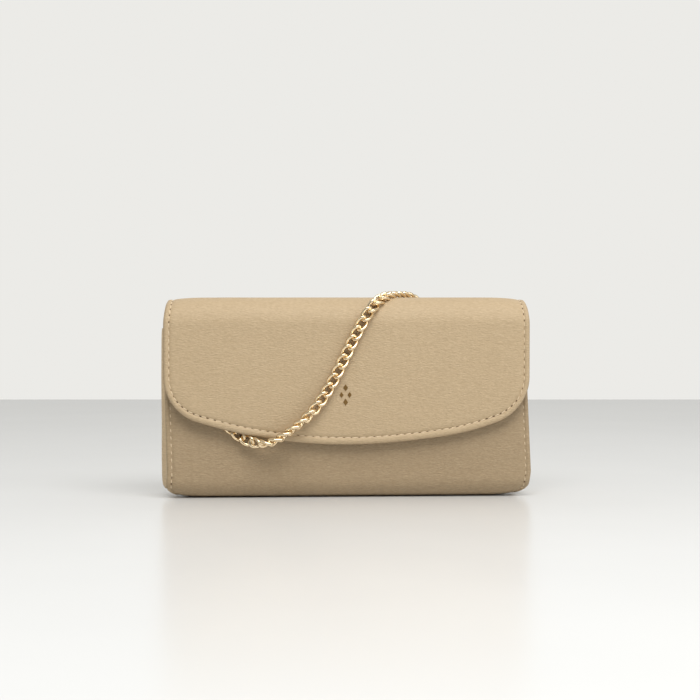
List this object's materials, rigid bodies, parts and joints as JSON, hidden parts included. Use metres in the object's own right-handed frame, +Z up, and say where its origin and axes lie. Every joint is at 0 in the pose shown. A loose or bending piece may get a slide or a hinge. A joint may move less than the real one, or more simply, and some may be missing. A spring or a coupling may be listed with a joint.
{
  "type": "chain wallet",
  "caption": "Upright flap wallet with side gussets, card slots, zipped coin pocket, magnetic snap and a curb chain strap on lobster clasps.",
  "frame": {"origin": "middle of the base, on the surface that the wallet stands on", "axes": "+X to the right seen from the front, along the width; +Y to the back; +Z up"},
  "size_m": [0.2048, 0.0968, 0.1141],
  "materials": {
    "body_leather": "pebbled, low sheen",
    "lining": "smooth lining leather",
    "stiffener": "plain board",
    "zip_tape": "woven tape",
    "gold_metal": "polished pale gold plate",
    "gold_chain": "polished pale gold plate",
    "coiled_chain": "polished pale gold plate",
    "tie_ribbon": "woven ribbon",
    "washer_steel": "plain",
    "magnet": "nickelled"
  },
  "bodies": {
    "root": {"outer_shell": "body_leather", "back_board": "stiffener", "back_lining": "lining", "base_board": "stiffener", "base_lining": "lining", "back_card_slots": "lining", "left_gusset": "body_leather", "right_gusset": "body_leather", "chain_over_hinge": "gold_chain", "chain_behind": "gold_chain", "chain_hank": "coiled_chain", "chain_end": "gold_chain", "hank_tie": "tie_ribbon", "far_clasp_body": "gold_metal", "far_clasp_pin": "gold_metal"},
    "front": {"front_panel": "body_leather", "front_board": "stiffener", "front_lining": "lining", "front_card_slots": "lining", "snap_socket": "gold_metal", "snap_magnet": "magnet", "snap_socket_washer": "washer_steel"},
    "flap": {"flap_leather": "body_leather", "flap_interlining": "stiffener", "flap_lining": "lining", "snap_stud": "gold_metal", "snap_stud_washer": "washer_steel", "left_ring_tab": "body_leather", "right_ring_tab": "body_leather", "chain_on_flap": "gold_chain", "left_clasp_body": "gold_metal", "left_clasp_pin": "gold_metal"},
    "coin_pocket": {"coin_pocket_front": "lining", "coin_pocket_back": "lining", "zip_tape_front": "zip_tape", "zip_tape_back": "zip_tape", "zip_teeth_front": "gold_metal", "zip_teeth_back": "gold_metal", "zip_stops": "gold_metal"},
    "slider": {"zip_slider": "gold_metal"},
    "puller": {"zip_puller": "gold_metal"},
    "left_ring": {"left_d_ring": "gold_metal"},
    "right_ring": {"right_d_ring": "gold_metal"},
    "left_gate": {"left_clasp_gate": "gold_metal"},
    "left_eye": {"left_clasp_eye": "gold_metal"},
    "far_gate": {"far_clasp_gate": "gold_metal"},
    "far_eye": {"far_clasp_eye": "gold_metal"}
  },
  "joints": [
    {"name": "flap_fold", "type": "hinge", "parent": "root", "child": "flap", "pos_m": [0, 0.02, 0.09515], "axis": [-1, 0, 0], "range_deg": [0, 140], "deforming": ["chain_over_hinge"]},
    {"name": "front_open", "type": "hinge", "parent": "root", "child": "front", "pos_m": [0, -0.0132, 0.00975], "axis": [1, 0, 0], "range_deg": [0, 15], "deforming": ["left_gusset", "right_gusset"]},
    {"name": "pocket_tilt", "type": "hinge", "parent": "root", "child": "coin_pocket", "pos_m": [0, 0.0031, 0.005], "axis": [1, 0, 0], "range_deg": [0, 7.5]},
    {"name": "zip_run", "type": "slide", "parent": "coin_pocket", "child": "slider", "axis": [1, 0, 0], "range_m": [-0.003, 0.139]},
    {"name": "puller_hinge", "type": "hinge", "parent": "slider", "child": "puller", "pos_m": [-0.071, 0.0031, 0.0921], "axis": [0, -1, 0], "range_deg": [0, 30]},
    {"name": "left_ring_swing", "type": "hinge", "parent": "flap", "child": "left_ring", "pos_m": [-0.086, 0.012, 0.102], "axis": [1, 0, 0], "range_deg": [-6, 6]},
    {"name": "right_ring_swing", "type": "hinge", "parent": "flap", "child": "right_ring", "pos_m": [0.086, 0.012, 0.102], "axis": [1, 0, 0], "range_deg": [-95, 10]},
    {"name": "left_gate_hinge", "type": "hinge", "parent": "flap", "child": "left_gate", "pos_m": [-0.086, -0.00199, 0.09893], "axis": [-1, 0, 0], "range_deg": [0, 15], "stiffness_Nm_per_rad": 0.01, "springref_deg": -17.19},
    {"name": "left_swivel", "type": "hinge", "parent": "flap", "child": "left_eye", "pos_m": [-0.086, -0.00689, 0.09513], "axis": [0, -0.9397, -0.342], "continuous": true},
    {"name": "far_gate_hinge", "type": "hinge", "parent": "root", "child": "far_gate", "pos_m": [-0.0804, 0.03475, 0.0018], "axis": [0, 0, 1], "range_deg": [0, 20], "stiffness_Nm_per_rad": 0.01, "springref_deg": -17.19},
    {"name": "far_swivel", "type": "hinge", "parent": "root", "child": "far_eye", "pos_m": [-0.0785, 0.04065, 0.0018], "axis": [0, 1, 0], "continuous": true}
  ],
  "couplings": [
    {"joint": "front_open", "follows": "flap_fold", "ratio": 0.105},
    {"joint": "pocket_tilt", "follows": "flap_fold", "ratio": 0.0525}
  ]
}
